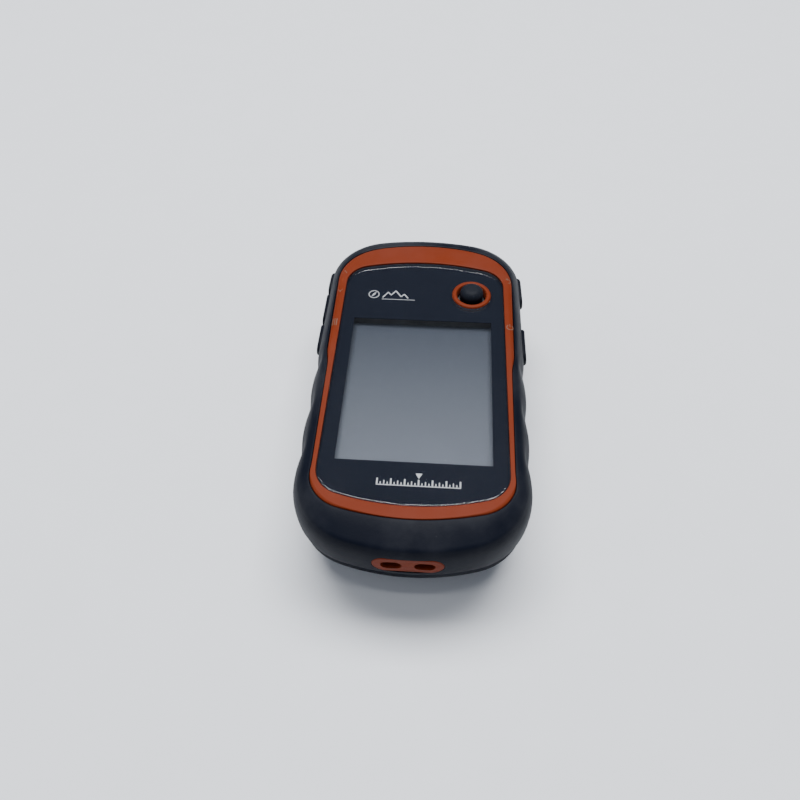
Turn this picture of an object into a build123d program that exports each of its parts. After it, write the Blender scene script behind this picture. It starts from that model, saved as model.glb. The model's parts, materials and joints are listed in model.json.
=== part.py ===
from build123d import *
from math import cos, hypot, pi, sin, sqrt
import os

# Handheld satellite navigator, lying on its back. +X is to the right of the screen, +Y to the stick end,
# and +Z out of the screen. The origin is on the plane that the unit rests on, under the middle of its
# outline. Sizes are in millimetres.

# ---------------------------------------------------------------- body
body_length = 103.0
body_width = 54.0
front_z = 30.8  # flat front face
back_z = 3.2  # flat back of the case; the spine reaches below it, to z = 0
split_z = 11.0  # joint between the front and rear cases
upper_taper = 0.7  # how much narrower each side is at the top end
grip_wall = 1.8  # rubber over the front case
case_wall = 1.6
rear_wall = 2.2
fit_gap = 0.1  # between pieces that seat in each other
move_gap = 0.2  # round keys, covers and caps
crown_top = 65.0  # radius of the rounded top end, seen from the front
crown_bottom = 53.0
corner_top = 16.0
corner_bottom = 17.0

# Side, top-end and bottom-end insets of the skin, at shares of the height from the back to the front face.
# The crease is the edge where the front's slope meets the side wall.
below_crease = [
    (0.000, 8.00, 9.50, 10.60),
    (0.025, 5.90, 7.20, 8.60),
    (0.100, 3.60, 4.70, 6.90),
    (0.250, 1.75, 2.50, 4.60),
    (0.430, 0.60, 1.00, 2.30),
    (0.560, 0.15, 0.25, 0.65),
    (0.680, 0.00, 0.00, 0.05),
    (0.780, 0.12, 0.35, 0.00),
    (0.860, 0.65, 1.55, 0.25),
    (0.920, 1.40, 3.20, 0.85),
]
above_crease = [
    (0.920, 1.40, 3.20, 0.85),
    (0.960, 2.15, 4.60, 3.60),
    (0.985, 2.95, 6.00, 5.60),
    (1.000, 4.00, 8.30, 7.30),
]
belt_share = 0.680  # height share of the widest outline

# ---------------------------------------------------------------- front
lens_top_margin = 14.9  # from the body's top end to the lens
lens_bottom_margin = 10.5
lens_side_margin = 5.7
lens_taper = 0.35  # how much narrower each side of the lens is at its top
lens_corner = 6.8
lens_crown = 60.0
lens_thickness = 1.4
lens_recess = 0.25  # below the band's face
lens_edge_round = 0.6
mask_thickness = 0.15
band_top_margin = 7.4
band_bottom_margin = 7.2
band_side_margin = 3.4
band_step = 0.75  # how far the band steps in below the keys
band_step_margin = 48.0  # from the body's top end to the start of that step
band_step_length = 5.8
band_corner_top = 13.0
band_corner_bottom = 9.5
band_crown_top = 47.0
band_crown_bottom = 62.0

window_width = 35.5
window_height = 44.5
display_rise = 34.0  # from the lens's bottom edge to the middle of the display
display_margin = 0.95  # display glass outside the window, on each side
display_end_margin = 2.05
glass_thickness = 1.0
backlight_thickness = 1.2
display_depth = 2.1  # from the mask down to the display glass
tray_wall = 0.4

# ---------------------------------------------------------------- board
board_thickness = 1.0
board_margin = 5.8  # from the body's side
board_end_margin = 8.3
board_corner = 12.0
shield_height = 1.9
chip_height = 0.9
antenna_height = 2.6
antenna_x = -5.0
antenna_margin = 15.7  # from the body's top end
antenna_width = 13.0
antenna_length = 12.0
antenna_border = 1.3  # of bare ceramic round the patch
patch_thickness = 0.1

# ---------------------------------------------------------------- thumb stick
stick_side_margin = 14.4
stick_top_margin = 26.9
ring_outer = 5.15
ring_inner = 3.9
ring_throat = 3.7  # bore of the ring at its foot
ring_proud = 0.45  # above the lens
stick_cap_radius = 2.85
stick_cap_round = 1.3
stick_skirt_radius = 3.1
stick_top_z = 33.0
pivot_rise = 2.8  # from the board to the axes that the stick tilts on
stick_base_side = 9.0
stick_base_bore = 3.75
stick_base_height = 3.8
gimbal_outer = 3.3
gimbal_inner = 2.45
gimbal_thickness = 1.1
pivot_pin = 0.3  # radius
pivot_gap = 0.03
rocker_radius = 1.95
shaft_radius = 0.75
shaft_gap = 0.05

# ---------------------------------------------------------------- keys
key_height = 4.6
key_z = 23.8
key_proud = 0.75
key_travel = 0.6
key_wing = 0.8  # how far the wings that hold a key in stand out above and below it, and their thickness
wing_setback = 1.4  # from each end of a key to its wings
key_web = 0.9  # case wall left in front of the wings
post_radius = 0.8
post_length = 0.8
switch_depth = 2.0
switch_width = 4.5
switch_height = 2.4
# name, side (-1 left, 1 right), distance from the body's top end, length
keys = [
    ("zoom_in_key", -1, 17.6, 7.8),
    ("zoom_out_key", -1, 27.9, 10.8),
    ("menu_key", -1, 39.1, 9.6),
    ("back_key", 1, 18.3, 10.4),
    ("power_key", 1, 38.7, 11.2),
]

# ---------------------------------------------------------------- grip
lobe_depth = 0.65
lobe_radius = 3.4  # of the grooves between the finger lobes
lobe_margins = [50.4, 63.9, 77.5]  # from the body's top end to each groove

# ---------------------------------------------------------------- lanyard insert
insert_width = 15.6
insert_height = 6.0
insert_z = 22.9
insert_depth = 5.9
slot_width = 4.5
slot_height = 2.4
slot_pitch = 7.2
bridge_depth = 2.6
tunnel_depth = 2.0

# ---------------------------------------------------------------- cells and bay
cell_radius = 7.1
cell_length = 50.5  # with its nub
nub_radius = 2.75
nub_height = 1.3
cell_gap = 1.2  # between the two cells
bay_gap = 0.4
bay_centre_y = -0.6
bay_wall = 1.2
plate_thickness = 0.5
spring_length = 3.7
spring_wire = 0.38
spring_large = 4.0
spring_small = 2.2
spring_turns = 3

# ---------------------------------------------------------------- cover, spine and lock
cover_half_width = 18.3
cover_corner = 9.0
cover_thickness = 1.8
cover_top_margin = 3.3  # from the bay to the cover's top edge
cover_bottom_margin = 13.1
ledge_thickness = 1.6
gasket_width = 1.2
gasket_height = 0.8
tab_width = 5.0
tab_spacing = 18.0
tab_reach = 1.2
tab_thickness = 0.9
spine_width = 13.0
spine_neck = 9.6
spine_flange = 1.4
spine_top_margin = 6.3  # from the cover's top edge
spine_bottom_margin = 20.0
lock_margin = 7.4  # from the cover's bottom edge to the lock's axis
lock_boss_radius = 6.7
knob_radius = 5.2
knob_face_z = 1.8
lock_face_z = 0.15  # of the rim round the knob, and of the bridge that holds the ring
knob_thickness = 1.2
lock_shaft_radius = 1.9
cam_length = 7.6
cam_width = 3.0
cam_thickness = 1.4
cam_gap = 0.45
ring_wire = 0.55  # radius of the folding ring's wire
ring_radius = 4.2
bridge_width = 4.4

# ---------------------------------------------------------------- port and its cap
cap_width = 17.0
cap_height = 9.4
cap_thickness = 1.6
cap_margin = 3.0  # from the cover's top edge
cap_corner = 3.0
cap_lip = 1.2
cap_lip_height = 1.0
cap_bead = 0.45  # radius of the round edge that the cap swings on
strap_length = 2.4  # of the piece that anchors the cap, beyond its edge
strap_half_width = 5.0
port_width = 11.4
port_height = 7.4
port_depth_z = 11.5
port_gap = 0.5
socket_width = 7.8
socket_height = 4.0
socket_wall = 0.35

# ---------------------------------------------------------------- fasteners
screw_radius = 1.0
screw_head = 1.8
screw_head_height = 1.5
boss_wall = 1.2
post_wall = 1.0
top_screw_x = 16.0
top_screw_margin = 12.9  # from the body's top end
low_screw_x = 13.0
low_screw_margin = 16.4  # from the body's bottom end
board_screw_x = 17.5
board_screw_drop = 4.2  # below the display's tray

half_length = body_length / 2
half_width = body_width / 2
cover_seat_z = back_z + cover_thickness
mask_z = front_z - grip_wall
face_z = mask_z + mask_thickness + lens_thickness  # outer face of the lens
inner_front_z = front_z - grip_wall - case_wall
glass_z = mask_z - display_depth  # outer face of the display glass
tray_z = glass_z - glass_thickness - backlight_thickness - tray_wall
board_front_z = tray_z - chip_height  # the tray rests on the chips
board_z = board_front_z - board_thickness  # back face of the board
pivot_z = board_front_z + pivot_rise
wing_depth = grip_wall + key_web + fit_gap  # from the body's side to the outer face of a key's wings
post_depth = wing_depth + key_wing + post_length
# from the body's side to the inner end of a key's way through the case, past its switch
key_hole_depth = post_depth + key_travel + switch_depth + 2 * fit_gap


# ================================================================ shapes that several pieces share
def outline(half_top, half_bottom, top, bottom, rounds, crowns, side=()):
    """Closed face with crowned ends and round corners.

    rounds and crowns give the corner and end radii, top then bottom. side holds more points of the right.
    """

    def corner(half, end, radius, crown, sign):
        centre_x = half - radius
        centre_y = end - sign * (crown - sqrt((crown - radius) ** 2 - centre_x**2))
        crown_centre = end - sign * crown
        reach = hypot(centre_x, centre_y - crown_centre)
        on_crown = (centre_x / reach * crown, crown_centre + (centre_y - crown_centre) / reach * crown)
        across = (on_crown[0] - centre_x + radius, on_crown[1] - centre_y)
        size = hypot(*across)
        middle = (centre_x + across[0] / size * radius, centre_y + across[1] / size * radius)
        return on_crown, middle, (half, centre_y)

    def flip(point):
        return (-point[0], point[1])

    top_crown, top_middle, top_side = corner(half_top, top, rounds[0], crowns[0], 1)
    low_crown, low_middle, low_side = corner(half_bottom, bottom, rounds[1], crowns[1], -1)
    right = [top_side, *side, low_side]
    if side:
        sides = [Spline(*right), Spline(*[flip(p) for p in reversed(right)])]
    else:
        sides = [Line(top_side, low_side), Line(flip(low_side), flip(top_side))]
    edges = [
        ThreePointArc(flip(top_crown), (0, top), top_crown),
        ThreePointArc(top_crown, top_middle, top_side),
        sides[0],
        ThreePointArc(low_side, low_middle, low_crown),
        ThreePointArc(low_crown, (0, bottom), flip(low_crown)),
        ThreePointArc(flip(low_crown), flip(low_middle), flip(low_side)),
        sides[1],
        ThreePointArc(flip(top_side), flip(top_middle), flip(top_crown)),
    ]
    return make_face(edges)


def prism(face, low, high):
    """A flat face in XY, extruded from one height to another."""
    return extrude(Pos(0, 0, low) * face, high - low)


def block(x0, x1, y0, y1, z0, z1):
    return Pos((x0 + x1) / 2, (y0 + y1) / 2, (z0 + z1) / 2) * Box(x1 - x0, y1 - y0, z1 - z0)


def slab(low, high):
    """Everything between two heights."""
    return block(-body_width, body_width, -body_length, body_length, low, high)


def peg(x, y, low, high, radius):
    return Pos(x, y, (low + high) / 2) * Cylinder(radius, high - low)


def skin(inset=0.0):
    """The body's outer shape, or a shape inset from it on all sides."""
    belt = back_z + belt_share * (front_z - back_z)

    def section(share, side, top, bottom):
        z = back_z + share * (front_z - back_z)
        reach = front_z - belt if z > belt else belt - back_z
        z = belt + (z - belt) * (reach - inset) / reach
        half = half_width - side - inset
        face = outline(
            half - upper_taper,
            half,
            half_length - top - inset,
            -half_length + bottom + inset,
            (corner_top - inset - 0.3 * top, corner_bottom - inset - 0.7 * bottom),
            (crown_top, crown_bottom),
        )
        return Pos(0, 0, z) * face

    lower = loft([section(*row) for row in below_crease])
    upper = loft([section(*row) for row in above_crease])
    return lower + upper


def side_x(y):
    """Half width of the body at its belt, at a place along its straight side."""
    share = (y + half_length) / body_length
    return half_width - upper_taper * share


def stadium(length, height):
    return SlotOverall(length, height) if length > height else Circle(height / 2)


def along_x(face, y, z, x0, x1):
    """A face drawn with its width along Y and height along Z, extruded along X."""
    plane = Plane(origin=(x0, y, z), x_dir=(0, 1, 0), z_dir=(1, 0, 0))
    return extrude(plane * face, x1 - x0)


def along_y(face, x, z, y0, y1):
    """A face drawn with its width along X and height along Z, extruded along Y."""
    plane = Plane(origin=(x, y0, z), x_dir=(1, 0, 0), z_dir=(0, -1, 0))
    return extrude(plane * face, -(y1 - y0))


skin_outer = skin()
skin_case = skin(grip_wall)
skin_inner = skin(grip_wall + case_wall)

# ---------------------------------------------------------------- places
lens_half = half_width - lens_side_margin
lens_top = half_length - lens_top_margin
lens_bottom = -half_length + lens_bottom_margin
display_y = lens_bottom + display_rise
stick_x = half_width - stick_side_margin
stick_y = half_length - stick_top_margin
bay_half = cell_radius * 2 + cell_gap / 2 + bay_gap
bay_half_length = (cell_length + spring_length + 2 * plate_thickness) / 2
bay_bottom = bay_centre_y - bay_half_length
bay_top = bay_centre_y + bay_half_length
cell_x = cell_radius + cell_gap / 2
bay_floor_z = cover_seat_z + bay_gap  # cells clear the cover by this
cell_z = bay_floor_z + cell_radius
bay_roof_z = cell_z + cell_radius + bay_gap
cover_top = bay_top + cover_top_margin
cover_bottom = bay_bottom - cover_bottom_margin
lock_y = cover_bottom + lock_margin
cap_bottom = cover_top + cap_margin
cap_top = cap_bottom + cap_height
cap_y = (cap_bottom + cap_top) / 2
ledge_z = cover_seat_z + ledge_thickness
cam_z = ledge_z + fit_gap
display_bottom = display_y - window_height / 2 - display_end_margin - tray_wall
top_screw_y = half_length - top_screw_margin
low_screw_y = -half_length + low_screw_margin
board_screw_y = display_bottom - board_screw_drop
case_screw_places = [
    (-top_screw_x, top_screw_y),
    (top_screw_x, top_screw_y),
    (-low_screw_x, low_screw_y),
    (low_screw_x, low_screw_y),
]
board_screw_places = [
    (-board_screw_x - 0.4, stick_y - 4.2), (-board_screw_x, board_screw_y), (board_screw_x, board_screw_y),
]


def lens_outline(offset=0.0):
    return outline(
        lens_half - lens_taper + offset,
        lens_half + offset,
        lens_top + offset,
        lens_bottom - offset,
        (lens_corner + offset, lens_corner + offset),
        (lens_crown + offset, lens_crown + offset),
    )


def band_outline(offset=0.0):
    half = half_width - band_side_margin
    start = half_length - band_step_margin
    end = start - band_step_length
    inner = half - band_step
    side = [
        (half + offset, start + 2.2),
        (half - 0.12 * band_step + offset, start - 0.2 * band_step_length),
        (inner + 0.12 * band_step + offset, end + 0.2 * band_step_length),
        (inner + offset, end - 2.2),
        (inner + 0.1 + offset, end - 16.0),
    ]
    return outline(
        half - 0.1 + offset,
        half - 0.4 + offset,
        half_length - band_top_margin + offset,
        -half_length + band_bottom_margin - offset,
        (band_corner_top, band_corner_bottom),
        (band_crown_top, band_crown_bottom),
        side,
    )


def cover_outline(offset=0.0):
    middle = (cover_top + cover_bottom) / 2
    face = RectangleRounded(
        2 * (cover_half_width + offset), cover_top - cover_bottom + 2 * offset, cover_corner + offset
    )
    return Pos(0, middle) * face


def cap_outline(offset=0.0):
    face = RectangleRounded(cap_width + 2 * offset, cap_height + 2 * offset, cap_corner + offset)
    return Pos(0, cap_y) * face


def port_outline(offset=0.0):
    return Pos(0, cap_y) * RectangleRounded(port_width + 2 * offset, port_height + 2 * offset, 1.5 + offset)


def key_place(side, margin):
    y = half_length - margin
    return y, side_x(y)


def key_bar(side, margin, length, depth, grow=0.0):
    """A key's outline, extruded from outside the body to a depth in its side wall."""
    y, reach = key_place(side, margin)
    face = stadium(length + 2 * grow, key_height + 2 * grow)
    return along_x(face, y, key_z, side * (reach - depth), side * (reach + 3))


def wing_bar(side, margin, length, depth, grow=0.0):
    """The outline of a key's wings, extruded in the same way."""
    y, reach = key_place(side, margin)
    face = Rectangle(length - 2 * wing_setback + 2 * grow, key_height + 2 * key_wing + 2 * grow)
    return along_x(face, y, key_z, side * (reach - depth), side * (reach + 3))


def insert_hole(grow=0.0):
    face = stadium(insert_width + 2 * grow, insert_height + 2 * grow)
    return along_y(face, 0, insert_z, -half_length - 1, -half_length + insert_depth + 4)


# ================================================================ casings
def make_rubber_grip():
    shell = (skin_outer & slab(split_z, front_z + 1)) - skin_case
    shell -= prism(band_outline(), split_z + 8, front_z + 1)
    for name, *place in keys:
        shell -= key_bar(*place, key_hole_depth, move_gap)
    shell -= insert_hole(fit_gap)
    for margin in lobe_margins:
        y = half_length - margin
        for side in (-1, 1):
            centre = side * (side_x(y) + lobe_radius - lobe_depth)
            shell -= peg(centre, y, split_z - 1, front_z + 1, lobe_radius)
    return shell


def make_bezel_band():
    band = (skin_outer & prism(band_outline(), split_z + 8, front_z + 1)) - skin_case
    for name, *place in keys:
        band -= key_bar(*place, key_hole_depth, move_gap)
    return band - prism(lens_outline(fit_gap), split_z, front_z + 1)


def make_front_case():
    case = (skin_case & slab(split_z, front_z)) - skin_inner
    for x, y in case_screw_places:
        case += peg(x, y, split_z, inner_front_z + 0.2, screw_radius + boss_wall)
    for x, y in board_screw_places:
        case += peg(x, y, board_front_z, inner_front_z + 0.2, screw_radius + post_wall)
    for x, y in case_screw_places:
        case -= peg(x, y, split_z - 1, split_z + 9, screw_radius)
    for x, y in board_screw_places:
        case -= peg(x, y, board_front_z - 1, inner_front_z - 0.8, screw_radius - 0.25)
    case -= Pos(0, display_y, 0) * block(
        -window_width / 2 - display_margin - tray_wall - fit_gap,
        window_width / 2 + display_margin + tray_wall + fit_gap,
        -window_height / 2 - display_end_margin - tray_wall - fit_gap,
        window_height / 2 + display_end_margin + tray_wall + fit_gap,
        split_z,
        front_z,
    )
    case -= peg(stick_x, stick_y, pivot_z, front_z, ring_outer + 0.6)
    wing_space = skin(grip_wall + key_web)
    for name, *place in keys:
        case -= key_bar(*place, key_hole_depth, move_gap)
        case -= wing_bar(*place, key_hole_depth, move_gap) & wing_space
    case -= insert_hole(fit_gap)
    return case


def make_rear_case():
    case = skin_outer & slab(back_z - 1, split_z)
    rim_z = split_z - 1.6
    case -= skin(rear_wall) & slab(ledge_z, rim_z)
    case -= skin_inner & slab(rim_z, split_z + 1)
    case += block(-bay_half - bay_wall, bay_half + bay_wall, bay_bottom - bay_wall, bay_top + bay_wall,
                  ledge_z - 0.5, bay_roof_z + bay_wall)
    case += prism(port_outline(port_gap + 1.2), ledge_z - 0.5, port_depth_z + 1.2)
    for x, y in case_screw_places:
        case += peg(x, y, ledge_z - 0.5, split_z, screw_head + boss_wall)
    # the recess that the cover seats in, the bay, and the card opening in the bay's roof
    case -= prism(cover_outline(move_gap), -1, cover_seat_z)
    case -= block(-bay_half, bay_half, bay_bottom, bay_top, -1, bay_roof_z)
    case -= block(-8.6, 8.6, bay_centre_y - 8.6, bay_centre_y + 8.6, bay_roof_z - 1, bay_roof_z + 3)
    # the port's pocket, the cap's recess and the socket's way in
    case -= prism(cap_outline(move_gap), -1, back_z + cap_thickness + fit_gap)
    case -= prism(port_outline(port_gap), -1, port_depth_z)
    case -= Pos(0, cap_y, 0) * block(
        -socket_width / 2 - fit_gap, socket_width / 2 + fit_gap,
        -socket_height / 2 - fit_gap, socket_height / 2 + fit_gap, port_depth_z - 1, port_depth_z + 2,
    )
    strap_half = strap_half_width + fit_gap
    strap_end = cap_top + strap_length + 2 * fit_gap
    case -= block(-strap_half, strap_half, cap_top - 1, strap_end, -1, back_z + cap_thickness + fit_gap)
    # the lock's way through the ledge, open all round so that the cover lifts at every turn of the cam
    case -= peg(0, lock_y, cover_seat_z - 1, ledge_z + 1, cam_length / 2 + cam_gap)
    # pockets that the cover's tabs turn in
    for side in (-1, 1):
        pocket = along_x(
            Circle(hypot(tab_reach, cover_thickness) + 0.25), cover_top, back_z,
            side * tab_spacing / 2 - tab_width / 2 - move_gap,
            side * tab_spacing / 2 + tab_width / 2 + move_gap,
        )
        case -= pocket & slab(back_z + cover_thickness / 2 - 0.1, ledge_z + 2)
    for x, y in case_screw_places:
        head_z = ledge_z + 0.9
        case -= peg(x, y, -1, head_z, screw_head + fit_gap)
        case -= peg(x, y, head_z - 1, split_z + 1, screw_radius + fit_gap)
    case -= gasket_ring(fit_gap)
    return case


def gasket_ring(grow=0.0):
    ring = skin(grip_wall + 0.4 - grow) - skin(grip_wall + 1.2 + grow)
    return ring & slab(split_z - 0.8, split_z)


# ================================================================ front pieces
def make_display_lens():
    lens = prism(lens_outline(), mask_z + mask_thickness, face_z)
    lens = fillet(lens.faces().sort_by(Axis.Z)[-1].edges(), lens_edge_round)
    return lens - peg(stick_x, stick_y, mask_z - 1, front_z + 1, ring_outer + fit_gap)


def window_block(low, high, grow=0.0):
    half_w = window_width / 2 + grow
    half_h = window_height / 2 + grow
    return Pos(0, display_y, 0) * block(-half_w, half_w, -half_h, half_h, low, high)


def make_lens_mask():
    mask = prism(lens_outline(), mask_z, mask_z + mask_thickness)
    mask -= window_block(mask_z - 1, mask_z + 1)
    return mask - peg(stick_x, stick_y, mask_z - 1, mask_z + 1, ring_outer + fit_gap)


def display_block(low, high, grow):
    half_w = window_width / 2 + display_margin + grow
    half_h = window_height / 2 + display_end_margin + grow
    return Pos(0, display_y, 0) * block(-half_w, half_w, -half_h, half_h, low, high)


def make_display_parts():
    glass_low = glass_z - glass_thickness
    light_low = glass_low - backlight_thickness
    tray = display_block(light_low - tray_wall, glass_z, tray_wall) - display_block(light_low, front_z, 0.0)
    ribbon_top = display_bottom
    ribbon = block(-7, 7, ribbon_top - 1.6, ribbon_top - 1.4, board_front_z, glass_low)
    ribbon += block(-7, 7, ribbon_top - 1.6, ribbon_top, glass_low - 0.2, glass_low)
    return {
        "display_glass": display_block(glass_low, glass_z, -fit_gap / 2),
        "display_backlight": display_block(light_low, glass_low, -fit_gap / 2),
        "display_tray": tray,
        "display_gasket": display_block(glass_z, mask_z, 0.0) - window_block(glass_z - 1, mask_z + 1, 0.35),
        "display_ribbon": ribbon,
    }


def make_stick_ring():
    ring = peg(stick_x, stick_y, mask_z, face_z + ring_proud, ring_outer)
    ring = chamfer(ring.faces().sort_by(Axis.Z)[-1].edges(), 0.25)
    bore = Pos(stick_x, stick_y, (mask_z + face_z + ring_proud) / 2) * Cone(
        ring_throat, ring_inner, face_z + ring_proud - mask_z
    )
    return ring - bore


def make_lanyard_insert():
    face = stadium(insert_width, insert_height)
    front = along_y(face, 0, insert_z, -half_length - 1, -half_length + insert_depth)
    body = front & skin_outer
    flange = along_y(
        stadium(insert_width + 2, insert_height + 2), 0, insert_z, -half_length, -half_length + insert_depth
    )
    body += flange & skin(grip_wall + case_wall + fit_gap)
    body -= along_y(
        Rectangle(slot_pitch + slot_width, slot_height), 0, insert_z,
        -half_length + bridge_depth, -half_length + bridge_depth + tunnel_depth,
    )
    for side in (-1, 1):
        body -= along_y(
            Rectangle(slot_width, slot_height), side * slot_pitch / 2, insert_z,
            -half_length - 1, -half_length + bridge_depth + tunnel_depth,
        )
    return body


# ================================================================ board and what is on it
def make_main_board():
    board = prism(
        outline(
            half_width - board_margin - 0.4, half_width - board_margin,
            half_length - board_end_margin, -half_length + board_end_margin + 0.6,
            (board_corner, board_corner), (crown_top, crown_bottom),
        ),
        board_z,
        board_front_z,
    )
    for x, y in case_screw_places:
        board -= peg(x, y, board_z - 1, board_front_z + 1, screw_radius + boss_wall + 0.3)
    for x, y in board_screw_places:
        board -= peg(x, y, board_z - 1, board_front_z + 1, screw_radius)
    return board


def make_board_pieces():
    def shield(x, y, width, depth, height):
        can = block(
            x - width / 2, x + width / 2, y - depth / 2, y + depth / 2, board_front_z, board_front_z + height
        )
        inside = block(
            x - width / 2 + 0.3, x + width / 2 - 0.3, y - depth / 2 + 0.3, y + depth / 2 - 0.3,
            board_front_z, board_front_z + height - 0.3,
        )
        return can - inside

    def chip(x, y, width, depth):
        return block(x - width / 2, x + width / 2, y - depth / 2, y + depth / 2, board_front_z,
                     board_front_z + chip_height)

    antenna_y = half_length - antenna_margin
    antenna_top = board_front_z + antenna_height
    at = Pos(antenna_x, antenna_y, 0)
    half_w, half_l = antenna_width / 2, antenna_length / 2
    patch_w, patch_l = half_w - antenna_border, half_l - antenna_border
    antenna = at * block(-half_w, half_w, -half_l, half_l, board_front_z, antenna_top)
    patch = at * block(-patch_w, patch_w, -patch_l, patch_l, antenna_top, antenna_top + patch_thickness)
    return {
        "receiver_shield": shield(-8.0, stick_y - 0.6, 15.0, 9.0, shield_height),
        "board_chips": Compound([
            chip(-9.0, display_y + 6, 12.0, 12.0).solid(),
            chip(7.0, display_y + 6, 9.0, 11.0).solid(),
            chip(0.0, display_y - 12, 6.0, 6.0).solid(),
            chip(12.0, display_y - 13, 4.0, 4.0).solid(),
        ]),
        "antenna_block": antenna,
        "antenna_patch": patch,
    }


def make_usb_socket():
    height = board_z - port_depth_z
    outer = block(-socket_width / 2, socket_width / 2, cap_y - socket_height / 2, cap_y + socket_height / 2,
                  port_depth_z, board_z)
    inner = block(
        -socket_width / 2 + socket_wall, socket_width / 2 - socket_wall,
        cap_y - socket_height / 2 + socket_wall, cap_y + socket_height / 2 - socket_wall,
        port_depth_z - 1, board_z - height / 4,
    )
    tongue = block(-2.4, 2.4, cap_y - 0.45, cap_y + 0.45, port_depth_z + 0.8, board_z - height / 4)
    return outer - inner + tongue


def make_card_pieces():
    holder = block(-7.6, 7.6, bay_centre_y - 8.0, bay_centre_y + 8.0, board_z - 1.5, board_z)
    slot = block(-5.6, 5.6, bay_centre_y - 9.0, bay_centre_y + 7.0, board_z - 1.15, board_z - 0.25)
    card = block(-5.5, 5.5, bay_centre_y - 8.4, bay_centre_y + 6.6, board_z - 1.05, board_z - 0.35)
    return {"card_holder": holder - slot, "memory_card": card}


def make_key_switches():
    solids = []
    for name, side, margin, length in keys:
        y, reach = key_place(side, margin)
        outer = reach - post_depth - key_travel - fit_gap
        body = block(-switch_depth / 2, switch_depth / 2, y - switch_width / 2, y + switch_width / 2,
                     board_front_z, board_front_z + switch_height)
        solids.append((Pos(side * (outer - switch_depth / 2), 0, 0) * body).solid())
    return Compound(solids)


# ================================================================ keys
def make_key(side, margin, length):
    y, reach = key_place(side, margin)
    cap = (key_bar(side, margin, length, post_depth) & skin_proud) - skin_key_back
    wings = (wing_bar(side, margin, length, post_depth) & skin_key_seat) - skin_key_back
    post_z = board_front_z + switch_height / 2
    post = along_x(Circle(post_radius), y, post_z, side * (reach - post_depth), side * (reach - wing_depth))
    return cap + wings + post


# ================================================================ thumb stick
def make_stick_parts():
    at = Pos(stick_x, stick_y, 0)
    base_top = board_front_z + stick_base_height
    base = at * block(-stick_base_side / 2, stick_base_side / 2, -stick_base_side / 2, stick_base_side / 2,
                      board_front_z, base_top)
    base -= peg(stick_x, stick_y, board_front_z + 0.3, base_top + 1, stick_base_bore)
    base -= along_x(Circle(pivot_pin + pivot_gap), stick_y, pivot_z, stick_x - 4.2, stick_x + 4.2)

    low, high = pivot_z - gimbal_thickness / 2, pivot_z + gimbal_thickness / 2
    gimbal = peg(stick_x, stick_y, low, high, gimbal_outer)
    gimbal += along_x(Circle(pivot_pin), stick_y, pivot_z, stick_x - 4.1, stick_x + 4.1)
    gimbal -= peg(stick_x, stick_y, pivot_z - 1, pivot_z + 1, gimbal_inner)
    gimbal -= along_y(Circle(pivot_pin + pivot_gap), stick_x, pivot_z, stick_y - 3.1, stick_y + 3.1)

    rocker = peg(stick_x, stick_y, low, high, rocker_radius)
    rocker += along_y(Circle(pivot_pin), stick_x, pivot_z, stick_y - 3.0, stick_y + 3.0)
    rocker -= peg(stick_x, stick_y, pivot_z - 1, pivot_z + 1, shaft_radius + shaft_gap)

    shaft = peg(stick_x, stick_y, board_front_z + 1.1, stick_top_z - 1.2, shaft_radius)
    shaft += peg(stick_x, stick_y, pivot_z + 1.2, pivot_z + 1.7, 1.5)

    skirt_z = mask_z + 0.1
    cap = peg(stick_x, stick_y, skirt_z, stick_top_z, stick_cap_radius)
    cap = fillet(cap.faces().sort_by(Axis.Z)[-1].edges(), stick_cap_round)
    cap += peg(stick_x, stick_y, skirt_z, skirt_z + 0.5, stick_skirt_radius)
    cap -= peg(stick_x, stick_y, skirt_z - 1, stick_top_z - 1.2, shaft_radius)

    seal = peg(stick_x, stick_y, inner_front_z + 0.1, inner_front_z + 0.5, ring_outer + 0.5)
    seal -= peg(stick_x, stick_y, inner_front_z - 1, mask_z, 2.2)
    return {
        "stick_base": base,
        "stick_dome": peg(stick_x, stick_y, board_front_z + 0.3, board_front_z + 0.5, 1.4),
        "stick_gimbal": gimbal,
        "stick_rocker": rocker,
        "stick_shaft": shaft,
        "stick_cap": cap,
        "stick_seal": seal,
    }


# ================================================================ cells and contacts
def make_cells():
    def cell(x, base_y, direction):
        body_end = base_y + direction * (cell_length - nub_height)
        can = along_y(Circle(cell_radius), x, cell_z, min(base_y, body_end), max(base_y, body_end))
        can = fillet(can.edges(), 0.5)
        tip = base_y + direction * cell_length
        root = body_end - direction
        nub = along_y(Circle(nub_radius), x, cell_z, min(root, tip), max(root, tip))
        return (can + nub).solid()

    left_base = bay_bottom + plate_thickness + spring_length
    right_base = bay_top - plate_thickness - spring_length
    return Compound([cell(-cell_x, left_base, 1), cell(cell_x, right_base, -1)])


def make_contacts():
    low, high = cell_z - 5.5, cell_z + 5.5
    plates = Compound([
        block(-cell_x - 5, cell_x + 5, bay_bottom, bay_bottom + plate_thickness, low, high).solid(),
        block(-cell_x - 5, -cell_x + 5, bay_top - plate_thickness, bay_top, low, high).solid(),
        block(cell_x - 5, cell_x + 5, bay_top - plate_thickness, bay_top, low, high).solid(),
    ])
    height = spring_length - 2 * spring_wire - 0.1
    steps = 16 * spring_turns

    def coil_point(step):
        share = step / steps
        radius = spring_large + share * (spring_small - spring_large)
        turn = 2 * pi * spring_turns * share
        return (radius * cos(turn), radius * sin(turn), height * share)

    def spring(x, base_y, direction):
        path = Spline(*[coil_point(step) for step in range(steps + 1)])
        start = Plane(origin=path @ 0, z_dir=path % 0)
        coil = sweep(start * Circle(spring_wire), path=path)
        turn = Rot(-90 * direction, 0, 0)
        return (Pos(x, base_y + direction * (spring_wire + 0.05), cell_z) * turn * coil).solid()

    springs = Compound([
        spring(-cell_x, bay_bottom + plate_thickness, 1),
        spring(cell_x, bay_top - plate_thickness, -1),
    ])
    return plates, springs


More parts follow.
